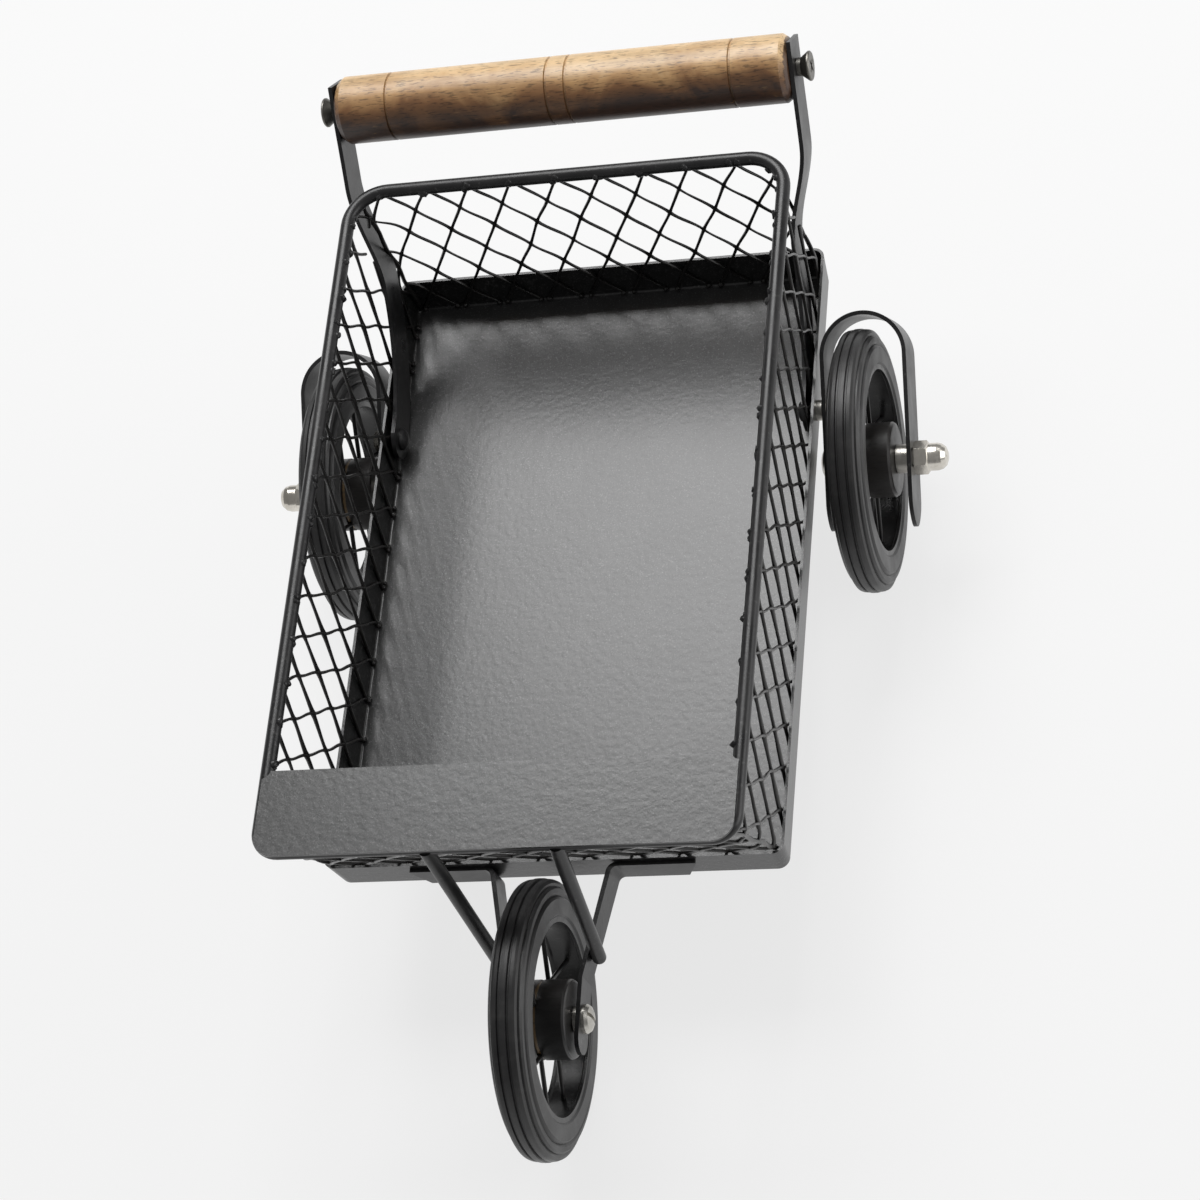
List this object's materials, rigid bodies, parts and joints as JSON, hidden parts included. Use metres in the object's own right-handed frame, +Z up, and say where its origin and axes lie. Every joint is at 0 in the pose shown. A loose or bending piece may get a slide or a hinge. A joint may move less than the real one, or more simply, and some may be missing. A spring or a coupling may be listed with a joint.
{
  "type": "wheelbarrow",
  "caption": "Small black three-wheeled wheelbarrow with an expanded-metal basket on a sheet tray and a turned wooden handle.",
  "frame": {"origin": "on the ground, in the middle of the overall length and width", "axes": "+Z up, -Y towards the front wheel, +Y towards the handle, +X to the right side seen from the front"},
  "size_m": [0.3108, 0.464, 0.1915],
  "materials": {
    "frame_paint": "satin",
    "sheet_paint": "satin",
    "netting_paint": "satin",
    "handle_wood": "satin",
    "screw_metal": "satin",
    "tyre_rubber": "matte",
    "hub_wood": "satin",
    "wheel_paint": "satin",
    "bright_nickel": "polished",
    "plated_steel": "satin"
  },
  "bodies": {
    "frame": {"cap_nut_left": "bright_nickel", "cap_nut_right": "bright_nickel", "fork_bolt_left": "frame_paint", "fork_bolt_right": "frame_paint", "fork_nut_left": "bright_nickel", "fork_nut_right": "bright_nickel", "fork_spacer_left": "plated_steel", "fork_spacer_right": "plated_steel", "front_axle_nut": "bright_nickel", "front_axle_screw": "plated_steel", "front_axle_washer_left": "plated_steel", "front_axle_washer_right": "plated_steel", "front_fork_leg_left": "frame_paint", "front_fork_leg_right": "frame_paint", "front_lip_plate": "sheet_paint", "front_strut_left": "frame_paint", "front_strut_right": "frame_paint", "handle_strap_left": "frame_paint", "handle_strap_right": "frame_paint", "mesh_front": "netting_paint", "mesh_left": "netting_paint", "mesh_rear": "netting_paint", "mesh_right": "netting_paint", "rear_axle_left": "plated_steel", "rear_axle_right": "plated_steel", "rear_axle_spacer_left": "plated_steel", "rear_axle_spacer_right": "plated_steel", "rear_axle_washer_left": "plated_steel", "rear_axle_washer_right": "plated_steel", "rear_fork_left": "frame_paint", "rear_fork_right": "frame_paint", "rim_rod": "frame_paint", "tray": "sheet_paint"},
    "wheel_front": {"front_hub": "hub_wood", "front_rim_band": "wheel_paint", "front_spokes": "wheel_paint", "front_tyre": "tyre_rubber"},
    "grip": {"handle_grip": "handle_wood", "handle_screw_left": "screw_metal", "handle_screw_right": "screw_metal"},
    "wheel_rear_left": {"rear_left_hub": "hub_wood", "rear_left_rim_band": "wheel_paint", "rear_left_spokes": "wheel_paint", "rear_left_tyre": "tyre_rubber"},
    "wheel_rear_right": {"rear_right_hub": "hub_wood", "rear_right_rim_band": "wheel_paint", "rear_right_spokes": "wheel_paint", "rear_right_tyre": "tyre_rubber"}
  },
  "joints": [
    {"name": "roll_rear_right", "type": "hinge", "parent": "frame", "child": "wheel_rear_right", "pos_m": [0.1195, 0.09, 0.058], "axis": [1, 0, 0], "continuous": true},
    {"name": "roll_rear_left", "type": "hinge", "parent": "frame", "child": "wheel_rear_left", "pos_m": [-0.1195, 0.09, 0.058], "axis": [1, 0, 0], "continuous": true},
    {"name": "roll_front", "type": "hinge", "parent": "frame", "child": "wheel_front", "pos_m": [0, -0.174, 0.058], "axis": [1, 0, 0], "continuous": true},
    {"name": "grip_turn", "type": "hinge", "parent": "frame", "child": "grip", "pos_m": [0, 0.217, 0.176], "axis": [1, 0, 0], "continuous": true}
  ]
}
